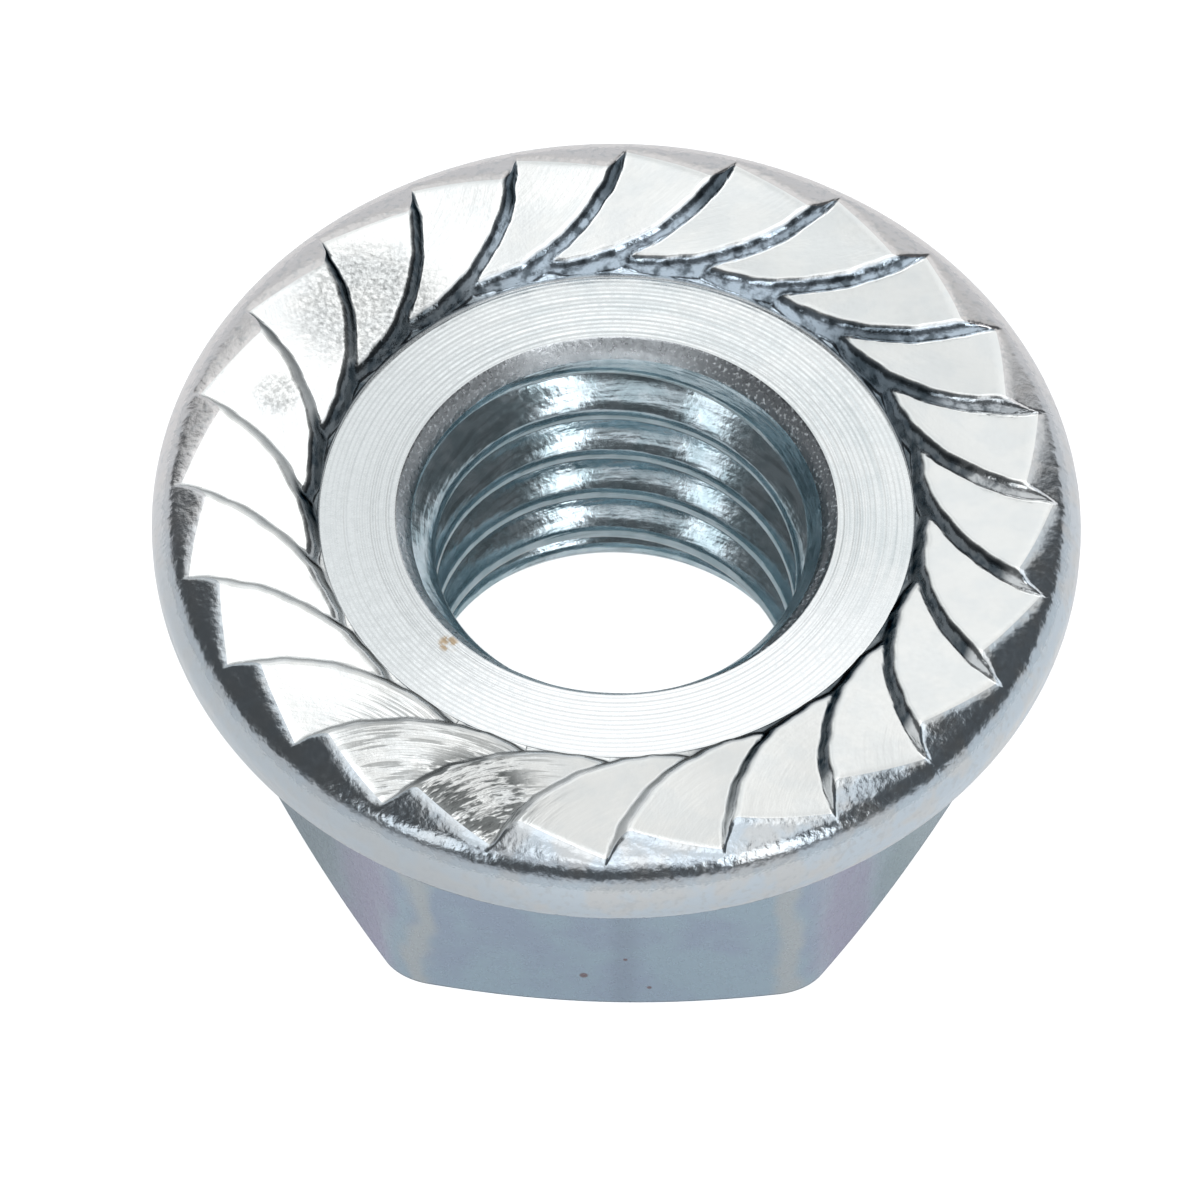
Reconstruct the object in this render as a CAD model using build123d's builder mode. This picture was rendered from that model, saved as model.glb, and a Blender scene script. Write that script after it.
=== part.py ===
"""Serrated flange nut, M8 x 1.25, right-hand thread: one forged and tapped steel piece.

The nut stands on the end of its hexagon at Z = 0, with the thread axis on Z and the serrated
bearing face up.  Two flats of the hexagon face -Y and +Y.  Sizes are in millimetres and degrees.
"""
import os
from math import cos, pi, radians, sqrt, tan

from build123d import *

# Overall
NUT_HEIGHT = 7.6  # hexagon end to the highest points of the teeth
ACROSS_FLATS = 13.0
FLANGE_DIAMETER = 17.0

# Threaded bore, at the thread's minor diameter
BORE_DIAMETER = 6.65
COUNTERSINK_WIDTH = 0.72  # 45 degree mouth at each end, measured outwards from the bore

# Hexagon
SIDES = 6
CORNER_RADIUS = 0.9  # rounding of the six upright corners
END_INSET = 0.67  # the end face is a circle this far inside the flats
END_CHAMFER_ANGLE = 30  # slope of the corner chamfer around the end face

# Flange
UNDERSIDE_ANGLE = 25  # slope of the flange's back, down towards the hexagon
RIM_THICKNESS = 1.2  # between the rim's two corners, before they are rounded
RIM_RADIUS = 0.75  # rounding of both corners
RIM_LAND = 0.06  # least height left upright between the two roundings
SHOULDER_WIDTH = 1.0  # sloping margin between the tooth crests and the rim
SHOULDER_ANGLE = 20
ROOT_RADIUS = 0.2  # fillet between the flange's back and the flats

# Bearing face
RING_DIAMETER = 10.9  # turned ring around the thread
RING_DEPTH = 0.78  # of the ring, below the tooth crests
RING_STEP = 0.08  # the ring is turned this far into the forged floor

# Teeth: raked round pads, each one overlapping the next round the flange
TOOTH_COUNT = 24
TOOTH_PHASE = 9.9  # direction of the first pad's centre, from +X
PAD_RADIUS = 3.82  # outline of a pad's top
PAD_MARGIN = 0.16  # between the ring and the nearest point of a pad's top
PAD_RAKE = 8.0  # a pad's top rises clockwise, towards its free edge
PAD_RISE = 1.4  # and rises away from the thread
FLANK_ANGLE = 47  # slope of a pad's side against its top
PAD_EDGE_BREAK = 0.06  # chamfer between a pad's top and its side
PAD_ROOT = 0.3  # a pad goes down this far past the ring, inside the nut

# Levels and radii that follow
flat_distance = ACROSS_FLATS / 2
flange_radius = FLANGE_DIAMETER / 2
bore_radius = BORE_DIAMETER / 2
ring_radius = RING_DIAMETER / 2
ring_height = NUT_HEIGHT - RING_DEPTH
floor_height = ring_height + RING_STEP
crest_radius = flange_radius - SHOULDER_WIDTH
rim_top = NUT_HEIGHT - SHOULDER_WIDTH * tan(radians(SHOULDER_ANGLE))
rim_bottom = rim_top - RIM_THICKNESS
end_radius = flat_distance - END_INSET
corner_distance = (flat_distance - CORNER_RADIUS) / cos(pi / SIDES) + CORNER_RADIUS


def rounding_share(slope):
    """Length that a rounding takes off the upright rim beside a face of this slope, in radii."""
    return tan(radians(90 - slope) / 2)


# The rim's two roundings share its thickness
rim_shares = rounding_share(SHOULDER_ANGLE) + rounding_share(UNDERSIDE_ANGLE)
rim_radius = min(RIM_RADIUS, (RIM_THICKNESS - RIM_LAND) / rim_shares)


def underside_height(radius):
    """Level of the flange's back at a distance from the axis."""
    return rim_bottom - (flange_radius - radius) * tan(radians(UNDERSIDE_ANGLE))


def chamfer_height(radius):
    """Level of the hexagon's end chamfer at a distance from the axis."""
    return (radius - end_radius) * tan(radians(END_CHAMFER_ANGLE))


# Where a pad's outline leaves the shoulder's inner circle, its top reaches the nut's full height
pad_distance = ring_radius + PAD_MARGIN + PAD_RADIUS
crest_x = (pad_distance**2 + crest_radius**2 - PAD_RADIUS**2) / (2 * pad_distance)
crest_y = sqrt(crest_radius**2 - crest_x**2)
pad_height = (
    NUT_HEIGHT
    - crest_y * tan(radians(PAD_RAKE))
    + (pad_distance - crest_x) * tan(radians(PAD_RISE))
)
pad_depth = RING_DEPTH + PAD_ROOT
pad_foot_radius = PAD_RADIUS + pad_depth / tan(radians(FLANK_ANGLE))
pad_plane = Plane(origin=(pad_distance, 0, pad_height)).rotated((-PAD_RAKE, -PAD_RISE, 0))

# One pad: a low round frustum on its raked plane, with its top edge broken
with BuildPart(pad_plane) as pad:
    Cone(
        bottom_radius=pad_foot_radius,
        top_radius=PAD_RADIUS,
        height=pad_depth,
        align=(Align.CENTER, Align.CENTER, Align.MAX),
    )
    chamfer(pad.edges().filter_by(GeomType.CIRCLE).sort_by(Axis.Z)[-1], PAD_EDGE_BREAK)

# Everything that stands under the bearing face: the floor, and the ring of pads on it
with BuildPart() as tooth_form:
    Cylinder(flange_radius, floor_height, align=(Align.CENTER, Align.CENTER, Align.MIN))
    with PolarLocations(0, TOOTH_COUNT, start_angle=TOOTH_PHASE):
        add(pad.part)

with BuildPart() as flange_nut:
    # Hexagon with rounded corners, up to the middle of the flange
    with BuildSketch() as hexagon:
        RegularPolygon(flat_distance, SIDES, major_radius=False)
        fillet(hexagon.vertices(), CORNER_RADIUS)
    extrude(amount=rim_top)

    # Corner chamfer around the hexagon's end face
    with BuildSketch(Plane.XZ):
        with BuildLine():
            Polyline(
                (0, 0),
                (end_radius, 0),
                (flange_radius, chamfer_height(flange_radius)),
                (flange_radius, rim_top),
                (0, rim_top),
                close=True,
            )
        make_face()
    revolve(axis=Axis.Z, mode=Mode.INTERSECT)

    # Flange: conical back, rounded rim, and a shoulder up to the crests
    with BuildSketch(Plane.XZ):
        with BuildLine():
            Polyline(
                (0, underside_height(0)),
                (flange_radius, rim_bottom),
                (flange_radius, rim_top),
                (crest_radius, NUT_HEIGHT),
                (0, NUT_HEIGHT),
                close=True,
            )
        rim = make_face()
        fillet(rim.vertices().group_by(Axis.X)[-1], rim_radius)
    revolve(axis=Axis.Z)

    root_edges = flange_nut.edges().filter_by_position(
        Axis.Z, underside_height(flat_distance), underside_height(corner_distance)
    )
    fillet(root_edges, ROOT_RADIUS)

    # Teeth: the face is cut down to the floor, and the pads stay
    add(tooth_form.part, mode=Mode.INTERSECT)

    # Turned ring
    with BuildSketch(Plane.XY.offset(ring_height)):
        Circle(ring_radius)
    extrude(amount=RING_DEPTH, mode=Mode.SUBTRACT)

    # Bore, with a countersunk mouth at each end
    Hole(bore_radius)
    bore_wall = flange_nut.faces(Select.LAST).filter_by(GeomType.CYLINDER)[0]
    chamfer(bore_wall.edges().filter_by(GeomType.CIRCLE), COUNTERSINK_WIDTH)

flange_nut.part.label = "flange_nut"

os.makedirs("parts", exist_ok=True)
export_step(flange_nut.part, "parts/flange_nut.step")
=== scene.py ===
"""Looks of the serrated flange nut: zinc-plated steel with an M8 x 1.25 right-hand thread.

Sizes are in millimetres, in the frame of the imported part: hexagon end at Z = 0, thread axis on
Z, serrated face up.  The mesh is made in millimetres and scaled to metres.  Azimuths are in
degrees, anticlockwise from +X as seen from above; the camera stands near azimuth 270.
"""
from math import acos, cos, pi, radians, sin, sqrt, tan

import bmesh
import bpy
import numpy as np
from mathutils import Matrix, Vector


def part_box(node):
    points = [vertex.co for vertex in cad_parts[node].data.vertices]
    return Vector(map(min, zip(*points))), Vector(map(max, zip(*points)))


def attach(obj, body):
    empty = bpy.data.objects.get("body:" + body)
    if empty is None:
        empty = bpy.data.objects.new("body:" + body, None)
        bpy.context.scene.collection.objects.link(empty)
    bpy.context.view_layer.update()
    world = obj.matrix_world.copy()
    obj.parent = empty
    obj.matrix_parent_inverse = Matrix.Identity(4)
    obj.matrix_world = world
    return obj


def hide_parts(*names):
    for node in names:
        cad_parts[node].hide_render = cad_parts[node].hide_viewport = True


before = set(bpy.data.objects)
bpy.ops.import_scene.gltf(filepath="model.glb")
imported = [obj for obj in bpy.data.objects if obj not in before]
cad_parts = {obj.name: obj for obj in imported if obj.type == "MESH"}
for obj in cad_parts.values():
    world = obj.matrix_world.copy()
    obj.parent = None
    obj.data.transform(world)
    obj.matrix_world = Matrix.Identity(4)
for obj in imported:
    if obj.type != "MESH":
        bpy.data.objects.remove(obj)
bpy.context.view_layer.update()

MM = 0.001
NODE = "flange_nut"

# Sizes of the nut, as in the part's source; the widest one comes from the frame
_, nut_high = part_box(NODE)
FLANGE_RADIUS = nut_high.x / MM
NUT_HEIGHT = 7.6
SIDES = 6
FLAT_DISTANCE = 6.5
CORNER_RADIUS = 0.9
END_RADIUS = 5.83  # of the flat circle at the hexagon's end
END_CHAMFER = tan(radians(30))
UNDERSIDE_SLOPE = radians(25)
RIM_THICKNESS = 1.2
RIM_RADIUS = 0.75
SHOULDER_WIDTH = 1.0
SHOULDER_SLOPE = radians(20)
ROOT_RADIUS = 0.2
BORE_RADIUS = 3.325
COUNTERSINK_WIDTH = 0.72
RING_RADIUS = 5.45
RING_DEPTH = 0.78
RING_STEP = 0.08

# Teeth: raked round pads, each one overlapping the next
TOOTH_COUNT = 24
TOOTH_PHASE = radians(9.9)
PAD_RADIUS = 3.82
PAD_MARGIN = 0.16
PAD_RAKE = radians(8.0)
PAD_RISE = radians(1.4)
FLANK_SLOPE = tan(radians(60))
CREST_SOFTNESS = 0.13  # half width of the rounding along a crest
FOOT_SOFTNESS = 0.05
END_SOFTNESS = 0.085  # of the roll from a tooth's top down to the shoulder
END_WIDTH = 0.24  # half width of that roll
WAVE_HEIGHT = 0.004  # slow waves of the forged tops
WAVE_LENGTHS = (1.7, 2.3)
WOBBLE_SIZE = 0.008  # sideways unevenness of the crests
WOBBLE_LENGTHS = (0.83, 1.37, 0.47, 2.1)
PADS_IN_REACH = range(-1, 4)  # pads that can cover a point, counted on from the nearest one

# Thread, and the fine marks that turning left on the ring
THREAD_PITCH = 1.25
THREAD_SLOPE = tan(pi / 3)  # rise of a flank towards the axis, for its length along it
THREAD_LIFT = 0.58
MAJOR_RADIUS = 4.0
MOUTH_BEVEL = 0.2  # width of the bevel at the edge of a countersink
MOUTH_TAPER = radians(30)
MOUTH_SOFTNESS = 0.03
ROOT_FLAT = THREAD_PITCH / 16  # half width of a groove's bottom
ROOT_SOFTNESS = 0.12
THREAD_SOFTNESS = 0.22
GROOVE_PITCH = 0.097
GROOVE_DEPTH = 0.006
GROOVE_RANGE = (0.4, 1.6)  # depth of the single grooves, as shares of that

# Levels that follow
RING_HEIGHT = NUT_HEIGHT - RING_DEPTH
FLOOR_HEIGHT = RING_HEIGHT + RING_STEP
CREST_CIRCLE = FLANGE_RADIUS - SHOULDER_WIDTH
RIM_TOP = NUT_HEIGHT - SHOULDER_WIDTH * tan(SHOULDER_SLOPE)
ROUNDING_CENTRE = FLANGE_RADIUS - RIM_RADIUS
ROUNDING_START = ROUNDING_CENTRE + RIM_RADIUS * sin(SHOULDER_SLOPE)
RIM_BOTTOM = RIM_TOP - RIM_THICKNESS
MOUTH_RADIUS = BORE_RADIUS + COUNTERSINK_WIDTH
THREAD_DEPTH = MAJOR_RADIUS - BORE_RADIUS
PAD_DISTANCE = RING_RADIUS + PAD_MARGIN + PAD_RADIUS
TOOTH_STEP = 2 * pi / TOOTH_COUNT
CREST_X = (PAD_DISTANCE**2 + CREST_CIRCLE**2 - PAD_RADIUS**2) / (2 * PAD_DISTANCE)
CREST_Y = sqrt(CREST_CIRCLE**2 - CREST_X**2)
PAD_HEIGHT = NUT_HEIGHT - CREST_Y * tan(PAD_RAKE) + (PAD_DISTANCE - CREST_X) * tan(PAD_RISE)

# Columns of the mesh round the axis
TOOTH_COLUMNS = 40  # of each tooth, of which the last ones go down its steep face
FACE_COLUMNS = 12
TOP_EASING = 0.65  # how far a top's columns crowd towards its two ends
BODY_COLUMNS = 240  # everywhere below the teeth
CORNER_COLUMNS = 12  # of a sixth of them, on each rounded corner of the hexagon
SHEAR_START = 5.68  # between these radii the columns turn to follow the crests
SHEAR_FULL = 5.9
FOOT_TABLE_END = 8.1  # radii at which the foot of a steep face is worked out
FOOT_TABLE_COUNT = 60
FOOT_SEARCH_START = 0.3  # share of a tooth from which that foot is searched
EDGE_SEARCH = (7.2, 8.3)  # radii between which the teeth end
SLOPE_STEP = 0.01  # short way over which a slope is measured
INSET_ROUNDS = 12  # rounds in which a row settles between the scallops and the teeth's ends

# Rows of the mesh, from the ring outwards and down to the bore
RING_ROWS = 59
RING_BLEND = 0.5  # width in which the ring's columns turn to even steps
CHANNEL_ROWS = 4
SCALLOP_ROWS = 6
TOP_ROWS = 20
END_ROWS = 9
RIM_END_ROWS = 5  # the last of the END_ROWS, which have the rim's finish
SHOULDER_ROWS = 11
RIM_ARC_ROWS = 9
ROOT_ARC_ROWS = 6
UNDERSIDE_SHARES = (0.25, 0.5, 0.75)
FLAT_SHARES = (0.125, 0.25, 0.375, 0.5, 0.625, 0.75, 0.875, 0.985, 1)  # close beside an edge
CHAMFER_SHARES = (0.05, 0.35, 0.65, 0.95, 1)
END_SHARES = (0.04, 0.5, 0.96, 1)
MOUTH_DEPTHS = (0.03, 0.07, 0.11, 0.15, 0.2, 0.26, 0.33)  # of the even loops in a countersink
THREAD_ROWS = (0, 0.07, 0.11, 0.22, 0.34, 0.45, 0.50, 0.625)  # over half a pitch, from a groove
TURNS_BELOW = 2  # turns that start below the nut, and that end above it
TURNS_ABOVE = 1
SNAP = 0.03  # points of the thread this near to a countersink's last loop join it

# Zones of the surface, each with a finish of its own, in the order of make_materials
TEETH, RING, MOUTH, BORE, RIM, HEXAGON, FLANKS = range(7)

# What the attributes "grain" and "steep" hold
GRAIN_OFFSET = 3.7  # between pads, so that no two have the same marks
STEEP_START = 0.3  # slope at which a face starts to count as steep
STEEP_RANGE = 0.35
CHANNEL_HEIGHT = 0.2  # height over the forged floor below which a point starts to count too
CHANNEL_RANGE = 0.12
THREAD_CREST_START = 0.75  # share of the thread's depth from which its crest counts as steep
THREAD_CREST_RANGE = 0.3
FLANK_SHARE = 0.5  # faces of the teeth that are steeper than this at each corner are flanks

# Seeds of the random draws
WAVE_SEED = 5
WOBBLE_SEED = 6
GROOVE_SEED = 8


# ---------- form of the bearing face


PAD_PHASES = np.random.default_rng(WAVE_SEED).uniform(0, 2 * pi, (TOOTH_COUNT, len(WAVE_LENGTHS)))
WOBBLE_PHASES = np.random.default_rng(WOBBLE_SEED).uniform(
    0, 2 * pi, (TOOTH_COUNT, len(WOBBLE_LENGTHS))
)


def hinge(x, softness):
    """The larger of x and 0, with a rounded corner."""
    return np.where(
        np.abs(x) < softness, (x + softness) ** 2 / (4 * softness), np.maximum(x, 0)
    )


def soft_max(a, b, softness):
    """The larger of two values, with a rounded corner where they meet."""
    return b + hinge(a - b, softness)


def wobble(length, number):
    """Uneven line along a crest, different on every pad."""
    phase = WOBBLE_PHASES[np.mod(number, TOOTH_COUNT).astype(int)]
    waves = [
        np.sin(2 * pi * length / wave + phase[..., k]) for k, wave in enumerate(WOBBLE_LENGTHS)
    ]
    return WOBBLE_SIZE * sum(waves)


def on_pad(angle, radius, number):
    """Place of a point from the axis, along and across the direction of a pad."""
    turn = angle - (TOOTH_PHASE + number * TOOTH_STEP)
    return radius * np.cos(turn), radius * np.sin(turn)


def pad_surface(angle, radius, number):
    """Level of one pad: a raked plane inside its circle, and a steep flank outside."""
    along, across = on_pad(angle, radius, number)
    plane = PAD_HEIGHT + (along - PAD_DISTANCE) * tan(PAD_RISE) - across * tan(PAD_RAKE)
    phase = PAD_PHASES[np.mod(number, TOOTH_COUNT).astype(int)]
    wave = np.sin(2 * pi * along / WAVE_LENGTHS[0] + phase[..., 0])
    wave = wave + np.sin(2 * pi * across / WAVE_LENGTHS[1] + phase[..., 1])
    outside = np.hypot(along - PAD_DISTANCE, across / cos(PAD_RAKE)) - PAD_RADIUS
    turn = np.arctan2(-across, PAD_DISTANCE - along)
    outside = outside + wobble(turn * PAD_RADIUS, number)
    return plane + WAVE_HEIGHT * wave - FLANK_SLOPE * hinge(outside, CREST_SOFTNESS)


def nearest_pad(angle):
    """Number of the pad whose centre is nearest in direction."""
    return np.round((angle - TOOTH_PHASE) / TOOTH_STEP)


def teeth_surface(angle, radius):
    """Level of the forged face: the highest of the pads that reach a point, over the floor."""
    nearest = nearest_pad(angle)
    level = np.full_like(radius, FLOOR_HEIGHT)
    for step in PADS_IN_REACH:
        level = soft_max(level, pad_surface(angle, radius, nearest + step), FOOT_SOFTNESS)
    return level


def crest_angle(radius):
    """How far clockwise from its pad's centre a crest lies, at a radius."""
    cosine = (PAD_DISTANCE**2 + radius**2 - PAD_RADIUS**2) / (2 * PAD_DISTANCE * radius)
    return np.arccos(np.clip(cosine, -1, 1))


def scallop_radius(angle):
    """Inner outline of all the pads together."""
    off = (angle - TOOTH_PHASE) / TOOTH_STEP
    off = (off - np.round(off)) * TOOTH_STEP
    reach = np.sqrt(PAD_RADIUS**2 - (PAD_DISTANCE * np.sin(off)) ** 2)
    return PAD_DISTANCE * np.cos(off) - reach


def margin_length(radius):
    """Distance down the shoulder and round the rim's upper rounding, at a radius."""
    turn = np.arcsin(np.clip((radius - ROUNDING_CENTRE) / RIM_RADIUS, 0, 1))
    on_shoulder = (np.minimum(radius, ROUNDING_START) - CREST_CIRCLE) / cos(SHOULDER_SLOPE)
    return on_shoulder + RIM_RADIUS * np.maximum(turn - SHOULDER_SLOPE, 0)


def margin_point(length):
    """Radius and level at a distance down the shoulder and round the rim."""
    start_length = (ROUNDING_START - CREST_CIRCLE) / cos(SHOULDER_SLOPE)
    straight = np.minimum(length, start_length)
    turn = SHOULDER_SLOPE + np.maximum(length - start_length, 0) / RIM_RADIUS
    radius = CREST_CIRCLE + straight * cos(SHOULDER_SLOPE)
    height = NUT_HEIGHT - straight * sin(SHOULDER_SLOPE)
    radius = radius + RIM_RADIUS * (np.sin(turn) - sin(SHOULDER_SLOPE))
    height = height - RIM_RADIUS * (cos(SHOULDER_SLOPE) - np.cos(turn))
    return radius, height


def envelope(radius):
    """Level of the shoulder and the rim's rounding, outside the crests."""
    return margin_point(margin_length(radius))[1]


def face_level(angle, radius):
    """Level of the bearing face, where the teeth roll down to the shoulder at their ends."""
    return -soft_max(-teeth_surface(angle, radius), -envelope(radius), END_SOFTNESS)


def halve(low, high, is_below, rounds=24):
    """Bisection, for arrays: is_below says where the middle is still on the low side."""
    for _ in range(rounds):
        middle = (low + high) / 2
        below = is_below(middle)
        low = np.where(below, middle, low)
        high = np.where(below, high, middle)
    return (low + high) / 2


def column_shift(radius):
    """Clockwise turn that makes the mesh columns follow the crests, easing off at the scallops."""
    full = crest_angle(np.maximum(radius, SHEAR_FULL))
    slope = (crest_angle(SHEAR_FULL + SLOPE_STEP) - crest_angle(SHEAR_FULL)) / SLOPE_STEP
    inner = np.clip(radius, SHEAR_START, SHEAR_FULL) - SHEAR_START
    width = SHEAR_FULL - SHEAR_START
    return full - slope * (width / 2 - inner**2 / (2 * width))


def foot_share(radius):
    """Part of the way from one crest to the next at which the next tooth's steep face starts."""
    pad = np.zeros_like(radius)
    crest = TOOTH_PHASE - crest_angle(np.maximum(radius, SHEAR_FULL))

    def on_top(share):
        angle = crest + share * TOOTH_STEP
        return pad_surface(angle, radius, pad) > pad_surface(angle, radius, pad + 1)

    return halve(np.full_like(radius, FOOT_SEARCH_START), np.ones_like(radius), on_top)


FOOT_RADII = np.linspace(SHEAR_FULL, FOOT_TABLE_END, FOOT_TABLE_COUNT)
FOOT_SHARES = foot_share(FOOT_RADII)


def tooth_columns():
    """Pad number, whether it is on a top, and place along that part, of every column."""
    top = TOOTH_COLUMNS - FACE_COLUMNS
    even = np.arange(top) / top
    on_top = (1 - TOP_EASING) * even + TOP_EASING * (1 - np.cos(pi * even)) / 2
    on_face = np.arange(FACE_COLUMNS) / FACE_COLUMNS
    share = np.concatenate([on_top, on_face])
    is_top = np.arange(TOOTH_COLUMNS) < top
    pads = np.repeat(np.arange(TOOTH_COUNT), TOOTH_COLUMNS)
    return pads, np.tile(is_top, TOOTH_COUNT), np.tile(share, TOOTH_COUNT)


def column_angle(radius, columns):
    """Direction of each column at a radius of its own."""
    pads, is_top, share = columns
    foot = np.interp(radius, FOOT_RADII, FOOT_SHARES)
    place = np.where(is_top, share * foot, foot + share * (1 - foot))
    return TOOTH_PHASE + (pads + place) * TOOTH_STEP - column_shift(radius)


# ---------- mesh


class Skin:
    """Points and faces of one closed surface, made of loops round the axis."""

    def __init__(self):
        self.points = []
        self.faces = []
        self.zones = []
        self.grain = []
        self.steep = []

    def add(self, points, grain=None, steep=None):
        """Adds points, an array of rows (x, y, z), and gives their numbers."""
        first = len(self.points)
        self.points.extend(points.tolist())
        if grain is None:
            grain = np.column_stack([points[:, :2], polar(points)[1]])
        self.grain.extend(grain.tolist())
        self.steep.extend([0.0] * len(points) if steep is None else steep.tolist())
        return np.arange(first, first + len(points))

    def band(self, coarse, fine, zone):
        """Faces between two closed loops, of which the second may have a multiple of points."""
        ratio = len(fine) // len(coarse)
        for i, start in enumerate(coarse):
            following = coarse[(i + 1) % len(coarse)]
            run = [fine[(i * ratio + k) % len(fine)] for k in range(ratio + 1)]
            if ratio == 1:
                self.face([start, following, run[1], run[0]], zone)
                continue
            half = ratio // 2
            for k in range(ratio):
                self.face([start if k < half else following, run[k + 1], run[k]], zone)
            self.face([start, following, run[half]], zone)

    def face(self, corners, zone):
        """One face, without corners that fall together."""
        kept = []
        for corner in corners:
            if corner not in kept:
                kept.append(corner)
        if len(kept) > 2:
            self.faces.append([int(c) for c in kept])
            self.zones.append(zone)


def on_circle(angle, radius, height):
    """Points from polar coordinates, as rows (x, y, z)."""
    radius, height = radius + 0 * angle, height + 0 * angle
    return np.column_stack([radius * np.cos(angle), radius * np.sin(angle), height])


def rounding(start, corner, end, radius, count):
    """Points (radius, height) on the arc that rounds a corner between two directions."""
    start, corner, end = (np.array(p, float) for p in (start, corner, end))
    back = (start - corner) / np.linalg.norm(start - corner)
    on = (end - corner) / np.linalg.norm(end - corner)
    half = acos(back @ on) / 2
    centre = corner + (back + on) / np.linalg.norm(back + on) * radius / sin(half)
    first = corner + back * radius / tan(half) - centre
    last = corner + on * radius / tan(half) - centre
    turn = pi - 2 * half
    shares = np.linspace(0, 1, count)[:, None]
    from_first = np.sin((1 - shares) * turn) * first
    from_last = np.sin(shares * turn) * last
    return centre + (from_first + from_last) / sin(turn)


def polar(points):
    """Angles and distances round the axis of points, an array of rows (x, y) or (x, y, z)."""
    return np.arctan2(points[:, 1], points[:, 0]), np.hypot(points[:, 0], points[:, 1])


def pad_grain(points):
    """Coordinates that run along and across the arcs of the pad on which a point lies."""
    angle, radius = polar(points)
    nearest = nearest_pad(angle)
    best = np.full(len(points), -np.inf)
    grain = np.zeros((len(points), 3))
    for step in PADS_IN_REACH:
        number = nearest + step
        level = pad_surface(angle, radius, number)
        along, across = on_pad(angle, radius, number)
        along = along - PAD_DISTANCE
        on_arc = np.arctan2(-across, -along) * PAD_RADIUS
        offset = (number % TOOTH_COUNT) * GRAIN_OFFSET
        own = np.column_stack([on_arc, np.hypot(along, across), offset])
        higher = level > best
        best = np.where(higher, level, best)
        grain = np.where(higher[:, None], own, grain)
    return grain


def steepness(points):
    """1 on the steep faces and in the channel round the ring, 0 on the tops."""
    angle, radius = polar(points)
    here = teeth_surface(angle, radius)
    round_axis = teeth_surface(angle + SLOPE_STEP / radius, radius) - here
    outwards = teeth_surface(angle, radius + SLOPE_STEP) - here
    slope = np.hypot(round_axis, outwards) / SLOPE_STEP
    steep = np.clip((slope - STEEP_START) / STEEP_RANGE, 0, 1)
    deep = np.clip((FLOOR_HEIGHT + CHANNEL_HEIGHT - here) / CHANNEL_RANGE, 0, 1)
    return np.maximum(steep, deep)


def tooth_loops(skin):
    """(zone, loop) pairs of the serrated face, from the ring's edge out to the rim."""
    columns = tooth_columns()
    count = TOOTH_COUNT * TOOTH_COLUMNS

    def above_teeth(radius):
        return teeth_surface(column_angle(radius, columns), radius) < envelope(radius)

    edge = halve(*(np.full(count, limit) for limit in EDGE_SEARCH), above_teeth)

    def between(inset, outer, share):
        """Radius of each column: a share of the way from inside the scallops out to a radius."""
        radius = np.full(count, RING_RADIUS)
        for _ in range(INSET_ROUNDS):
            inner = scallop_radius(column_angle(radius, columns)) + inset
            radius = inner + (outer - inner) * share
        return radius

    def shares(rows):
        return np.arange(rows) / rows

    foot = between(-CREST_SOFTNESS, edge, 0)
    rows = [RING_RADIUS + (foot - RING_RADIUS) * share for share in shares(CHANNEL_ROWS)]
    rows += [between((2 * share - 1) * CREST_SOFTNESS, edge, 0) for share in shares(SCALLOP_ROWS)]
    rows += [between(CREST_SOFTNESS, edge - END_WIDTH, share) for share in shares(TOP_ROWS)]
    rows += [edge + (2 * share - 1) * END_WIDTH for share in np.linspace(0, 1, END_ROWS)]

    loops = []
    for number, radius in enumerate(rows):
        angle = column_angle(radius, columns)
        points = on_circle(angle, radius, face_level(angle, radius))
        zone = TEETH if number < len(rows) - RIM_END_ROWS else RIM
        loops.append((zone, skin.add(points, pad_grain(points), steepness(points))))

    inner_length = margin_length(rows[-1])
    rim_length = margin_length(FLANGE_RADIUS)
    for share in np.arange(1, SHOULDER_ROWS + 1) / SHOULDER_ROWS:
        radius, height = margin_point(inner_length + (rim_length - inner_length) * share)
        loops.append((RIM, skin.add(on_circle(angle, radius, height))))
    return loops


def hexagon_outline():
    """Points (x, y) round the hexagon with rounded corners, from near the middle of a flat."""
    corner_centre = (FLAT_DISTANCE - CORNER_RADIUS) / cos(pi / SIDES)
    half_turn = 180 / SIDES
    turns = np.radians(np.linspace(-half_turn, half_turn, CORNER_COLUMNS + 1))
    arc = np.column_stack(
        [corner_centre + CORNER_RADIUS * np.cos(turns), CORNER_RADIUS * np.sin(turns)]
    )
    middle = FLAT_DISTANCE * np.array([cos(pi / SIDES), sin(pi / SIDES)])
    run = (BODY_COLUMNS // SIDES - CORNER_COLUMNS) // 2
    shares = np.linspace(0, 1, run + 1)[:, None]
    after = arc[-1] + (middle - arc[-1]) * shares[1:-1]
    before = (arc[-1] + (middle - arc[-1]) * shares[::-1]) * [1, -1]
    sixth = np.concatenate([before[:-1], arc, after])
    outline = []
    for k in range(SIDES):
        turn = k * 2 * pi / SIDES
        spin = np.array([[cos(turn), sin(turn)], [-sin(turn), cos(turn)]])
        outline.append(sixth @ spin)
    return np.concatenate(outline)


def underside(radius):
    """Level of the flange's conical back."""
    return RIM_BOTTOM - (FLANGE_RADIUS - radius) * tan(UNDERSIDE_SLOPE)


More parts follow.
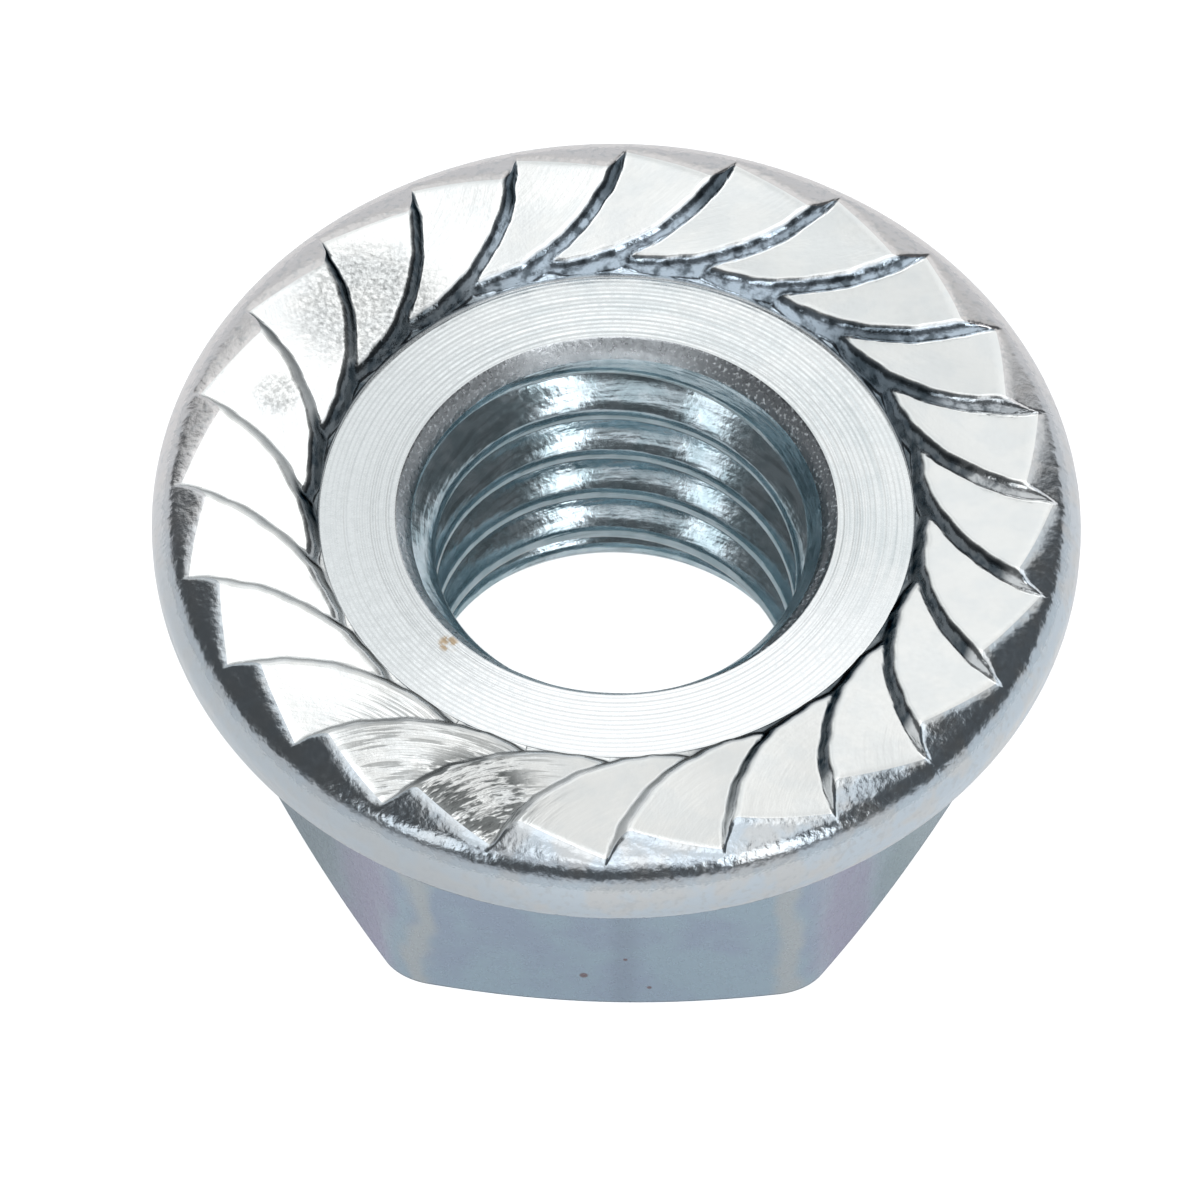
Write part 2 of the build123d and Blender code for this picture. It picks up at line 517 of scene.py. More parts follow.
def body_loops(skin):
    """Loops, zones and even angles of the rim, underside, hexagon and end face, down to the bore."""
    outline = hexagon_outline()
    hex_angle, hex_radius = polar(outline)
    hex_angle = np.unwrap(hex_angle)
    uniform = hex_angle[0] + np.arange(BODY_COLUMNS) * 2 * pi / BODY_COLUMNS

    loops = []
    rim = rounding(
        (FLANGE_RADIUS, RIM_TOP),
        (FLANGE_RADIUS, RIM_BOTTOM),
        (CREST_CIRCLE, underside(CREST_CIRCLE)),
        RIM_RADIUS,
        RIM_ARC_ROWS,
    )
    for radius, height in rim:
        loops.append((RIM, on_circle(uniform, radius, height)))

    # Root fillet: an arc that touches the flat and the flange's conical back
    centre_height = underside(hex_radius) + ROOT_RADIUS * (
        tan(UNDERSIDE_SLOPE) - 1 / cos(UNDERSIDE_SLOPE)
    )
    centre_radius = hex_radius + ROOT_RADIUS
    root_end = centre_radius - ROOT_RADIUS * sin(UNDERSIDE_SLOPE)
    for share in UNDERSIDE_SHARES:
        radius = rim[-1][0] + (root_end - rim[-1][0]) * share
        angle = uniform + (hex_angle - uniform) * share
        loops.append((RIM, on_circle(angle, radius, underside(radius))))
    for turn in np.linspace(pi / 2 + UNDERSIDE_SLOPE, pi, ROOT_ARC_ROWS):
        radius = centre_radius + ROOT_RADIUS * cos(turn)
        height = centre_height + ROOT_RADIUS * sin(turn)
        loops.append((HEXAGON, on_circle(hex_angle, radius, height)))

    chamfer_top = (hex_radius - END_RADIUS) * END_CHAMFER
    for share in FLAT_SHARES:
        height = centre_height + (chamfer_top - centre_height) * share
        loops.append((HEXAGON, on_circle(hex_angle, hex_radius, height)))
    for share in CHAMFER_SHARES:
        radius = hex_radius + (END_RADIUS - hex_radius) * share
        height = (radius - END_RADIUS) * END_CHAMFER
        loops.append((HEXAGON, on_circle(hex_angle, radius, height)))
    for share in END_SHARES:
        radius = END_RADIUS + (MOUTH_RADIUS - END_RADIUS) * share
        angle = hex_angle + (uniform - hex_angle) * share
        loops.append((HEXAGON, on_circle(angle, radius, 0.0)))
    zones = [zone for zone, _ in loops]
    return [skin.add(points) for _, points in loops], zones, uniform


def ring_heights(radii, rng):
    """Fine turned grooves, each a little deeper or shallower than the next."""
    turned = (radii - MOUTH_RADIUS) / GROOVE_PITCH
    number = turned.astype(int)
    depth = rng.uniform(*GROOVE_RANGE, number.max() + 2) * GROOVE_DEPTH
    return -depth[number] * np.sin(pi * (turned % 1)) ** 2


def mouth_radius(depth):
    """Distance of a countersink's wall from the axis: a short bevel, and a steep cone below."""
    bevel = MOUTH_RADIUS - depth
    cone = MOUTH_RADIUS - MOUTH_BEVEL - (depth - MOUTH_BEVEL) * tan(MOUTH_TAPER)
    return soft_max(bevel, cone, MOUTH_SOFTNESS)


def flank_height(angle, height):
    """How far the thread's straight flanks stand inwards from the bottom of their groove."""
    turns = (height - THREAD_LIFT) / THREAD_PITCH - angle / (2 * pi)
    from_groove = np.abs(turns - np.round(turns)) * THREAD_PITCH
    return (from_groove - ROOT_FLAT) * THREAD_SLOPE


def thread_crest_share(angle, height):
    """1 on the crests of the thread, 0 on its flanks."""
    depth = flank_height(angle, height) / THREAD_DEPTH
    return np.clip((depth - THREAD_CREST_START) / THREAD_CREST_RANGE, 0, 1)


def thread_radius(angle, height):
    """Distance of the threaded wall from the axis, with its countersunk mouths."""
    flank = hinge(flank_height(angle, height), ROOT_SOFTNESS)
    cut = MAJOR_RADIUS - (THREAD_DEPTH - hinge(THREAD_DEPTH - flank, THREAD_SOFTNESS))
    mouth = soft_max(mouth_radius(RING_HEIGHT - height), mouth_radius(height), MOUTH_SOFTNESS)
    return soft_max(cut, mouth, MOUTH_SOFTNESS)


def mouth_loops(skin, edge, angles, level, direction):
    """The even loops of a countersink, from its edge inwards."""
    loops = [edge]
    for depth in MOUTH_DEPTHS:
        height = level + direction * depth
        radius = thread_radius(angles, height)
        points = on_circle(angles, radius, height)
        loops.append(skin.add(points, points))
    return loops


def bore(skin, top_edge, low_edge, angles):
    """The thread, as rows that climb with it from the low countersink to the top one."""
    top_loops = mouth_loops(skin, top_edge, angles, RING_HEIGHT, -1)
    low_loops = mouth_loops(skin, low_edge, angles, 0, 1)
    for loops, zone in ((top_loops, MOUTH), (low_loops, BORE)):
        for outer, inner in zip(loops[:-1], loops[1:]):
            skin.band(inner, outer, zone)

    offsets = list(THREAD_ROWS) + [THREAD_PITCH - row for row in THREAD_ROWS[-2:0:-1]]
    per_turn = len(offsets)
    turns = int(RING_HEIGHT / THREAD_PITCH) + TURNS_BELOW + TURNS_ABOVE
    whole = np.repeat(np.arange(turns) - TURNS_BELOW, per_turn)
    heights = THREAD_LIFT + THREAD_PITCH * (whole + np.tile(offsets, turns) / THREAD_PITCH)
    lowest = MOUTH_DEPTHS[-1]
    highest = RING_HEIGHT - MOUTH_DEPTHS[-1]
    rows = []
    for base in heights:
        height = base + THREAD_PITCH * angles / (2 * pi)
        points = on_circle(angles, thread_radius(angles, height), height)
        inside = (height > lowest + SNAP) & (height < highest - SNAP)
        row = np.where(height >= highest - SNAP, top_loops[-1], low_loops[-1])
        crests = thread_crest_share(angles, height)
        row[inside] = skin.add(points[inside], points[inside], crests[inside])
        rows.append(row)

    for j, (low, high) in enumerate(zip(rows[:-1], rows[1:])):
        for i in range(len(angles) - 1):
            skin.face([low[i], low[i + 1], high[i + 1], high[i]], BORE)
        # The last column meets the first one a turn further up
        if j + 1 + per_turn < len(rows):
            next_low, next_high = rows[j + per_turn][0], rows[j + 1 + per_turn][0]
            skin.face([low[-1], next_low, next_high, high[-1]], BORE)


def aligned(skin, loop, uniform, ratio):
    """A fine loop turned to start beside the coarse ones, and the angles that they meet it at."""
    angles, _ = polar(np.array([skin.points[n] for n in loop[::ratio]]))
    start = np.argmin(np.abs(np.mod(angles - uniform[0] + pi, 2 * pi) - pi))
    angles = np.unwrap(np.roll(angles, -start))
    angles += 2 * pi * round((uniform[0] - angles[0]) / (2 * pi))
    return np.roll(loop, -start * ratio), angles


def make_nut(rng):
    """The whole nut as one closed surface."""
    skin = Skin()
    teeth = tooth_loops(skin)
    body, body_zones, uniform = body_loops(skin)
    ratio = TOOTH_COUNT * TOOTH_COLUMNS // BODY_COLUMNS

    # Ring, from the teeth inwards
    wall, edge_angles = aligned(skin, teeth[0][1], uniform, ratio)
    rows = np.linspace(RING_RADIUS, MOUTH_RADIUS, RING_ROWS)
    heights = RING_HEIGHT + ring_heights(rows, rng)
    heights[[0, -1]] = RING_HEIGHT
    ring = []
    for radius, height in zip(rows, heights):
        share = min(1, (RING_RADIUS - radius) / RING_BLEND)
        angle = edge_angles + (uniform - edge_angles) * share
        ring.append(skin.add(on_circle(angle, radius, height)))
    skin.band(ring[0], wall, TEETH)
    for high, low in zip(ring[:-1], ring[1:]):
        skin.band(low, high, RING)

    for (_, low), (zone, high) in zip(teeth[:-1], teeth[1:]):
        skin.band(low, high, zone)
    rim, _ = aligned(skin, teeth[-1][1], uniform, ratio)
    skin.band(body[0], rim, RIM)
    for high, low, zone in zip(body[:-1], body[1:], body_zones[1:]):
        skin.band(low, high, zone)
    bore(skin, ring[-1], body[-1], uniform)
    return skin


def with_flanks(skin):
    """The faces' zones, in which the teeth's steep faces are a zone of their own."""
    return [
        FLANKS if zone == TEETH and min(skin.steep[c] for c in face) > FLANK_SHARE else zone
        for face, zone in zip(skin.faces, skin.zones)
    ]


def build_object(skin):
    """The Blender object of the nut, in metres, with its zones as material slots."""
    mesh = bpy.data.meshes.new("nut_skin")
    mesh.from_pydata([[c * MM for c in p] for p in skin.points], [], skin.faces)
    mesh.polygons.foreach_set("material_index", with_flanks(skin))
    shape = bmesh.new()
    shape.from_mesh(mesh)
    bmesh.ops.recalc_face_normals(shape, faces=shape.faces)
    shape.to_mesh(mesh)
    shape.free()
    mesh.polygons.foreach_set("use_smooth", [True] * len(skin.faces))
    grain = mesh.attributes.new("grain", "FLOAT_VECTOR", "POINT")
    grain.data.foreach_set("vector", np.array(skin.grain, np.float32).ravel())
    steep = mesh.attributes.new("steep", "FLOAT", "POINT")
    steep.data.foreach_set("value", np.array(skin.steep, np.float32))
    nut = bpy.data.objects.new("nut_skin", mesh)
    bpy.context.scene.collection.objects.link(nut)
    return nut


# ---------- camera


IMAGE_SIZE = 1200
SENSOR_WIDTH = 36.0
FOCAL_LENGTH = 240.0
CAMERA_ELEVATION = radians(54.727)
CAMERA_ROLL = radians(0.668)
CAMERA_TURN = radians(1.246)
CAMERA_DISTANCE = 146.295
CLIP_NEAR = 10
CLIP_FAR = 10000
RING_CENTRE_IN_IMAGE = (616.5, 512.884)


def make_camera():
    """The camera, from where the ring's centre lies in the image and how far away it is."""
    data = bpy.data.cameras.new("camera")
    data.lens = FOCAL_LENGTH
    data.sensor_width = SENSOR_WIDTH
    data.clip_start = CLIP_NEAR * MM
    data.clip_end = CLIP_FAR * MM
    camera = bpy.data.objects.new("camera", data)
    bpy.context.scene.collection.objects.link(camera)
    bpy.context.scene.camera = camera

    turn = Matrix.Rotation(CAMERA_TURN, 3, "Z")
    up, level = sin(CAMERA_ELEVATION), cos(CAMERA_ELEVATION)
    roll_cos, roll_sin = cos(CAMERA_ROLL), sin(CAMERA_ROLL)
    right = turn @ Vector((roll_cos, roll_sin * up, roll_sin * level))
    down = turn @ Vector((roll_sin, -roll_cos * up, -roll_cos * level))
    forward = turn @ Vector((0, level, -up))
    pixels = FOCAL_LENGTH / SENSOR_WIDTH * IMAGE_SIZE
    off_right, off_down = (
        (place - IMAGE_SIZE / 2) / pixels * CAMERA_DISTANCE for place in RING_CENTRE_IN_IMAGE
    )
    place = Vector((0, 0, RING_HEIGHT)) - (
        right * off_right + down * off_down + forward * CAMERA_DISTANCE
    )
    axes = Matrix((right, -down, -forward)).transposed().to_4x4()
    camera.matrix_world = Matrix.Translation(place * MM) @ axes


# ---------- shader nodes


LEVEL = (1, 1, 0)  # factor that takes the height out of a direction
GIVE_NUMBERS = ("DISTANCE", "DOT_PRODUCT", "LENGTH")


def rgb(red, green, blue_reflection):
    """A colour as a shader socket takes it."""
    return (red, green, blue_reflection, 1.0)


class Nodes:
    """Short ways to add nodes to one node tree."""

    def __init__(self, tree):
        self.tree = tree

    def add(self, kind, inputs=None, **settings):
        """One node, with a constant or a link on each input named or numbered."""
        node = self.tree.nodes.new(kind)
        for name, value in settings.items():
            setattr(node, name, value)
        for name, value in (inputs or {}).items():
            if isinstance(value, bpy.types.NodeSocket):
                self.tree.links.new(value, node.inputs[name])
            else:
                node.inputs[name].default_value = value
        return node

    def math(self, operation, first, second=0.0, third=0.0):
        """A number worked out from up to three others."""
        node = self.add("ShaderNodeMath", {0: first, 1: second, 2: third}, operation=operation)
        return node.outputs[0]

    def times(self, first, second):
        """Product of two numbers."""
        return self.math("MULTIPLY", first, second)

    def times_plus(self, first, second, term):
        """Product of two numbers, and a third one added."""
        return self.math("MULTIPLY_ADD", first, second, term)

    def larger(self, first, second):
        """The larger of two numbers."""
        return self.math("MAXIMUM", first, second)

    def vector(self, operation, *inputs):
        """A vector, or for some operations a number, worked out from one or two vectors."""
        node = self.add("ShaderNodeVectorMath", dict(enumerate(inputs)), operation=operation)
        return node.outputs["Value" if operation in GIVE_NUMBERS else "Vector"]

    def ramp(self, value, start, end, least=0.0, most=1.0):
        """A smooth step from least, where a value is at the start, to most, at the end."""
        node = self.add(
            "ShaderNodeMapRange",
            {"Value": value, "From Min": start, "From Max": end, "To Min": least, "To Max": most},
            interpolation_type="SMOOTHSTEP",
        )
        return node.outputs["Result"]

    def noise(self, vector, scale, stretch=(1, 1, 1), detail=2.0):
        """Noise with this many features to a unit, more or fewer along each axis."""
        mapping = self.add(
            "ShaderNodeMapping", {"Vector": vector, "Scale": [scale * k for k in stretch]}
        )
        texture = self.add(
            "ShaderNodeTexNoise", {"Vector": mapping.outputs[0], "Scale": 1.0, "Detail": detail}
        )
        return texture.outputs["Fac"]

    def mix(self, share, first, second):
        """Blend of two colours."""
        node = self.add("ShaderNodeMix", {0: share, 6: first, 7: second}, data_type="RGBA")
        return node.outputs[2]


# ---------- finishes

# A mark is (place, radius).  Heights are in micrometres, noise scales in features to a mm.

MICROMETRE = 1e-6
MARK_EDGES = (1.2, 0.6)  # shares of its radius at which a mark ends and is full
UNEVEN_RANGE = (0.8, 1.25)  # least and greatest roughness, as shares of the named one


def start_zinc(name):
    """A metal material, with its nodes and the place on it in millimetres."""
    material = bpy.data.materials.new("zinc_" + name)
    material.use_nodes = True
    nodes = Nodes(material.node_tree)
    nodes.material = material
    nodes.shader = material.node_tree.nodes["Principled BSDF"]
    nodes.shader.inputs["Metallic"].default_value = 1.0
    metres = nodes.add("ShaderNodeTexCoord").outputs["Object"]
    nodes.place = nodes.vector("MULTIPLY", metres, (1 / MM,) * 3)
    nodes.grain = nodes.add("ShaderNodeAttribute", attribute_name="grain").outputs["Vector"]
    nodes.steep = nodes.add("ShaderNodeAttribute", attribute_name="steep").outputs["Fac"]
    return nodes


def end_zinc(nodes, colour, roughness, height):
    """Links colour, roughness and a height in micrometres to the shader."""
    bump = nodes.add("ShaderNodeBump", {"Height": height, "Distance": MICROMETRE, "Strength": 1.0})
    nodes.tree.links.new(bump.outputs[0], nodes.shader.inputs["Normal"])
    nodes.tree.links.new(colour, nodes.shader.inputs["Base Color"])
    nodes.tree.links.new(roughness, nodes.shader.inputs["Roughness"])
    return nodes.material


def cloudy(nodes, tones, scale):
    """Two colours in slow clouds."""
    cloud = nodes.noise(nodes.place, scale, detail=3)
    return nodes.mix(nodes.ramp(cloud, start=0.4, end=0.62), *tones)


def uneven(nodes, roughness):
    """Roughness that changes a little from spot to spot."""
    least, most = (roughness * share for share in UNEVEN_RANGE)
    spots = nodes.noise(nodes.place, scale=9.0, detail=3)
    return nodes.ramp(spots, start=0.3, end=0.7, least=least, most=most)


def with_lumps(nodes, height, scale, size):
    """A height with even noise added."""
    return nodes.times_plus(nodes.noise(nodes.place, scale), size, height)


def near(nodes, mark):
    """1 near the middle of a mark, and 0 away from it."""
    place, radius = mark
    distance = nodes.vector("DISTANCE", nodes.place, place)
    return nodes.ramp(distance, *(radius * share for share in MARK_EDGES))


def beside(nodes, azimuth, ends, full):
    """0 from a number of degrees beside an azimuth, and 1 up to another, round the axis."""
    azimuth, ends, full = (radians(degrees) for degrees in (azimuth, ends, full))
    outwards = nodes.vector("NORMALIZE", nodes.vector("MULTIPLY", nodes.place, LEVEL))
    facing = nodes.vector("DOT_PRODUCT", outwards, (cos(azimuth), sin(azimuth), 0))
    return nodes.ramp(facing, cos(ends), cos(full))


def from_axis(nodes):
    """Distance from the axis, in millimetres."""
    return nodes.vector("LENGTH", nodes.vector("MULTIPLY", nodes.place, LEVEL))


def strip(nodes, value, low, high, edge):
    """1 between two limits, with a soft edge."""
    above = nodes.ramp(value, low - edge, low + edge)
    return nodes.times(above, nodes.ramp(value, high + edge, high - edge))


# Steep faces of the teeth, and the channel round the ring: painted shade
# How far the painted shade is lifted in patches, so that the steep faces glitter
GLITTER_SHARE = 0.8
GLITTER_LEAST = 0.15
# Painted shade on every steep face
STEEP_SHADE_SHARE = 0.06  # darkness of every steep face


def painted_shade_share(nodes):
    """Share of painted shade on the steep faces and in the channel round the ring: deep but for the
    lower left, lifted in glittering patches on the right and at the back, and at the tips.
    """
    radius = from_axis(nodes)
    channel = beside(nodes, azimuth=75, ends=128, full=108)
    channel = nodes.times(channel, nodes.ramp(radius, start=6.0, end=5.75))
    share = nodes.larger(channel, beside(nodes, azimuth=40, ends=126, full=100))
    share = nodes.times(nodes.steep, share)
    right = beside(nodes, azimuth=32, ends=42, full=24)
    right = nodes.times(right, nodes.ramp(radius, start=6.2, end=6.6))
    back = beside(nodes, azimuth=82, ends=44, full=24)
    back = nodes.times(back, nodes.ramp(radius, start=7.1, end=6.5))
    bright = nodes.times_plus(nodes.larger(right, back), GLITTER_SHARE, GLITTER_LEAST)
    patches = nodes.noise(nodes.place, scale=4.0, detail=4)
    bright = nodes.times(bright, nodes.ramp(patches, start=0.34, end=0.56, least=0.2))
    tips = beside(nodes, azimuth=-35, ends=62, full=45)
    tips = nodes.times(tips, nodes.ramp(radius, start=7.1, end=7.4))
    share = nodes.times(share, nodes.math("SUBTRACT", 1.0, nodes.larger(bright, tips)))
    return nodes.times_plus(nodes.steep, STEEP_SHADE_SHARE, nodes.times(share, 1 - STEEP_SHADE_SHARE))


TEETH_TONES = (rgb(0.88, 0.89, 0.88), rgb(0.84, 0.86, 0.86))
MILLED_MARK = ((-3.0, -6.2, 7.2), 2.2)
PIT_MARKS = (((-4.7, 4.2, 7.2), 1.5), ((-6.3, 2.1, 7.2), 0.5))
STAIN_MARK = ((-2.4, -6.7, 7.2), 1.25)
FLAKE_SHARE = 0.5  # of the flakes in the stain's pattern
STAIN_TONE = rgb(0.12, 0.13, 0.13)
# Colour of the painted blue reflection on the steep faces at the back
BLUE_REFLECTION_TONE = rgb(0.74, 0.86, 0.97)
# Colour of the painted shade on the steep faces and in the channel
STEEP_SHADE_TONE = rgb(0.05, 0.07, 0.085)
ARC_HEIGHT = 2.0
MILLED_HEIGHT = 14.0
FLAKE_HEIGHT = 16.0
SPOT_HEIGHT = 1.8
PITTED_HEIGHT = 7.0
STEEP_HEIGHT = 5.0
WORN_ROUGHNESS = 0.42


def teeth_zinc(name="teeth"):
    """Bright tops, some with milling arcs, pits or a stain, and steep faces in glittering painted
    shade, with a painted blue reflection at the back.
    """
    nodes = start_zinc(name)
    milled = near(nodes, MILLED_MARK)
    pitted = nodes.larger(*(near(nodes, mark) for mark in PIT_MARKS))
    patch = near(nodes, STAIN_MARK)
    arcs = nodes.noise(nodes.grain, scale=12.0, stretch=(0.07, 1, 1), detail=3)
    flakes = nodes.noise(nodes.grain, scale=15.0, stretch=(0.2, 1, 1), detail=4)
    spots = nodes.noise(nodes.place, scale=8.0, detail=3)
    pits = nodes.noise(nodes.place, scale=12.0, detail=4)

    colour = cloudy(nodes, TEETH_TONES, scale=1.5)
    blotch = nodes.noise(nodes.grain, scale=3.0, stretch=(0.4, 1, 1))
    blotch = nodes.times_plus(flakes, FLAKE_SHARE, nodes.times(blotch, 1 - FLAKE_SHARE))
    stain = nodes.times(patch, nodes.ramp(blotch, start=0.53, end=0.47, most=0.9))
    streak = nodes.times(milled, nodes.ramp(arcs, start=0.53, end=0.6, most=0.5))
    speck = nodes.times(pitted, nodes.ramp(pits, start=0.38, end=0.64, least=0.14, most=0.5))
    stain = nodes.larger(nodes.larger(stain, streak), speck)
    colour = nodes.mix(stain, colour, STAIN_TONE)
    # Painted pale blue reflection on the steep faces and the channel at the back
    blue_reflection = nodes.times(nodes.steep, beside(nodes, azimuth=72, ends=62, full=34))
    colour = nodes.mix(blue_reflection, colour, BLUE_REFLECTION_TONE)
    # Painted shade on the steep faces and in the channel round the ring
    colour = nodes.mix(painted_shade_share(nodes), colour, STEEP_SHADE_TONE)

    height = nodes.times(arcs, nodes.times_plus(milled, MILLED_HEIGHT, ARC_HEIGHT))
    height = nodes.times_plus(flakes, nodes.times(patch, FLAKE_HEIGHT), height)
    spot_height = nodes.times_plus(pitted, PITTED_HEIGHT, SPOT_HEIGHT)
    spot_height = nodes.times_plus(nodes.steep, STEEP_HEIGHT, spot_height)
    height = nodes.times_plus(spots, spot_height, height)
    height = with_lumps(nodes, height, scale=24.0, size=0.9)
    worn = nodes.times(nodes.steep, beside(nodes, azimuth=213, ends=75, full=55))
    worn = nodes.times(worn, nodes.ramp(from_axis(nodes), start=5.75, end=6.0))
    roughness = nodes.times_plus(worn, WORN_ROUGHNESS, uneven(nodes, roughness=0.16))
    return end_zinc(nodes, colour, roughness, height)


# Dark specular tint: painted shade on steep faces seen edge on
EDGE_SHADE_TINT = rgb(0.1, 0.1, 0.1)


def flank_zinc():
    """The teeth's finish, with weak reflections where a steep face is seen edge on: painted shade, in
    a dark specular tint.
    """
    material = teeth_zinc("flanks")
    shader = material.node_tree.nodes["Principled BSDF"]
    shader.inputs["Specular Tint"].default_value = EDGE_SHADE_TINT
    return material


RING_TONES = (rgb(0.78, 0.805, 0.81), rgb(0.74, 0.775, 0.785))
LINE_TONE = rgb(0.45, 0.51, 0.53)
# Painted shade on the left of the ring and painted light at its front
RING_SHADE_AND_LIGHT_SECTORS = (
    ((190, 90, 30), rgb(0.66, 0.69, 0.70)),
    ((285, 70, 20), rgb(0.88, 0.90, 0.91)),
)
OCHRE_MARK = ((-2.95, -3.02, 6.82), 0.19)
OCHRE_SHARE = 0.8
OCHRE_TONE = rgb(0.40, 0.27, 0.13)
LINE_HEIGHT = 2.5


def ring_zinc():
    """Turned ring with fine circular lines and a small ochre stain, painted shade at its left and
    painted light at its front.
    """
    nodes = start_zinc("ring")
    colour = cloudy(nodes, RING_TONES, scale=1.2)
    lines = nodes.noise(nodes.grain, scale=13.0, stretch=(0.03, 0.03, 1), detail=3)
    colour = nodes.mix(nodes.ramp(lines, start=0.45, end=0.7, most=0.35), colour, LINE_TONE)
    # Painted shade and light round the ring, by azimuth
    for sector, tone in RING_SHADE_AND_LIGHT_SECTORS:
        colour = nodes.mix(beside(nodes, *sector), colour, tone)
    ochre = near(nodes, OCHRE_MARK)
    ochre = nodes.times(ochre, nodes.ramp(nodes.noise(nodes.place, scale=5.0), start=0.4, end=0.55))
    colour = nodes.mix(nodes.times(ochre, OCHRE_SHARE), colour, OCHRE_TONE)
    height = with_lumps(nodes, nodes.times(lines, LINE_HEIGHT), scale=16.0, size=1.2)
    return end_zinc(nodes, colour, uneven(nodes, roughness=0.24), height)


MOUTH_TONES = (rgb(0.93, 0.96, 0.98), rgb(0.82, 0.85, 0.87))
# Painted shade at the sides of the countersink
MOUTH_LEFT_SHADE_SHARE = 0.7
MOUTH_SHADE_TONE = rgb(0.20, 0.21, 0.22)
MOUTH_HEIGHT = 16.0


def mouth_zinc():
    """Rough, glittering countersink, with painted shade at both sides."""
    nodes = start_zinc("mouth")
    colour = cloudy(nodes, MOUTH_TONES, scale=4.0)
    spots = nodes.noise(nodes.place, scale=13.0, detail=4)
    # Painted shade at the left and at the right, broken by bright specks
    left = nodes.times(beside(nodes, azimuth=150, ends=40, full=20), MOUTH_LEFT_SHADE_SHARE)
    dark = nodes.larger(left, beside(nodes, azimuth=2, ends=85, full=55))
    dark = nodes.times(dark, nodes.ramp(spots, start=0.7, end=0.54, most=0.94))
    colour = nodes.mix(dark, colour, MOUTH_SHADE_TONE)
    height = nodes.times(spots, MOUTH_HEIGHT)
    return end_zinc(nodes, colour, uneven(nodes, roughness=0.32), height)


BORE_TONES = (rgb(0.74, 0.85, 0.90), rgb(0.56, 0.69, 0.74))
BORE_LINE_TONE = rgb(0.28, 0.34, 0.36)
# Painted shade on the thread's crests
THREAD_CREST_SHADE_SHARE = 0.45
THREAD_CREST_SHADE_TONE = rgb(0.25, 0.32, 0.35)
BORE_LINE_HEIGHT = 10.0


def bore_zinc():
    """Bluish thread with level marks round its wall, and painted shade on its crests."""
    nodes = start_zinc("bore")
    colour = cloudy(nodes, BORE_TONES, scale=2.0)
    lines = nodes.noise(nodes.grain, scale=12.0, stretch=(0.08, 0.08, 1))
    colour = nodes.mix(nodes.ramp(lines, start=0.5, end=0.7, most=0.5), colour, BORE_LINE_TONE)
    # Painted shade on the crests of the thread
    crests = nodes.times(nodes.steep, THREAD_CREST_SHADE_SHARE)
    colour = nodes.mix(crests, colour, THREAD_CREST_SHADE_TONE)
    height = with_lumps(nodes, nodes.times(lines, BORE_LINE_HEIGHT), scale=8.0, size=5.0)
    return end_zinc(nodes, colour, uneven(nodes, roughness=0.17), height)


RIM_TONES = (rgb(0.59, 0.66, 0.72), rgb(0.63, 0.65, 0.66))
RIM_BEIGE_TONE = rgb(0.74, 0.715, 0.71)
# Painted shade at the left of the rim's front
RIM_LEFT_SHADE_SHARE = 0.6
RIM_LEFT_SHADE_TONE = rgb(0.47, 0.51, 0.54)
RIM_SPOT_TONE = rgb(0.50, 0.53, 0.55)
RIM_SPOT_HEIGHT = 9.0


def rim_zinc():
    """Rolled rim, mottled, beige at the back, with painted shade at the left of the front."""
    nodes = start_zinc("rim")
    colour = cloudy(nodes, RIM_TONES, scale=1.6)
    colour = nodes.mix(beside(nodes, azimuth=100, ends=125, full=60), colour, RIM_BEIGE_TONE)
    # Painted shade at the front left of the rim
    left = nodes.times(beside(nodes, azimuth=225, ends=45, full=15), RIM_LEFT_SHADE_SHARE)
    colour = nodes.mix(left, colour, RIM_LEFT_SHADE_TONE)
    spots = nodes.noise(nodes.place, scale=7.0, detail=3)
    colour = nodes.mix(nodes.ramp(spots, start=0.52, end=0.66, most=0.35), colour, RIM_SPOT_TONE)
    height = with_lumps(nodes, nodes.times(spots, RIM_SPOT_HEIGHT), scale=3.0, size=14.0)
    return end_zinc(nodes, colour, uneven(nodes, roughness=0.16), height)


# Bluish zinc, darker than the rest of the nut: painted shade on the hexagon
HEXAGON_SHADED_TONES = (rgb(0.40, 0.50, 0.575), rgb(0.38, 0.45, 0.55))
# Beige: painted light on the rounded front corners; violet and teal: painted shade on the faces
# beyond them
CORNER_HIGHLIGHT_TONE = rgb(0.49, 0.53, 0.55)
VIOLET_SHADE_TONE = rgb(0.38, 0.38, 0.51)
TEAL_SHADE_TONE = rgb(0.30, 0.40, 0.44)
MIDDLE_SHARE = 0.4
MIDDLE_TONE = rgb(0.31, 0.37, 0.44)
# Painted shade on the far left sides and painted light on the far right sides
FAR_SIDE_SHADE_AND_LIGHT = (
    ((-4.2, -5.4), rgb(0.24, 0.29, 0.34)),
    ((5.0, 6.2), rgb(0.50, 0.57, 0.61)),
)
FAR_SIDE_LIGHTING_SHARE = 0.5
RUST_MARKS = (
    ((-0.36, -6.5, 1.28), 0.085),
    ((0.85, -6.5, 0.93), 0.05),
    ((0.40, -6.5, 1.85), 0.045),
)
RUST_SHARE = 0.75
RUST_TONE = rgb(0.20, 0.11, 0.10)
HEXAGON_SPOT_HEIGHT = 0.6


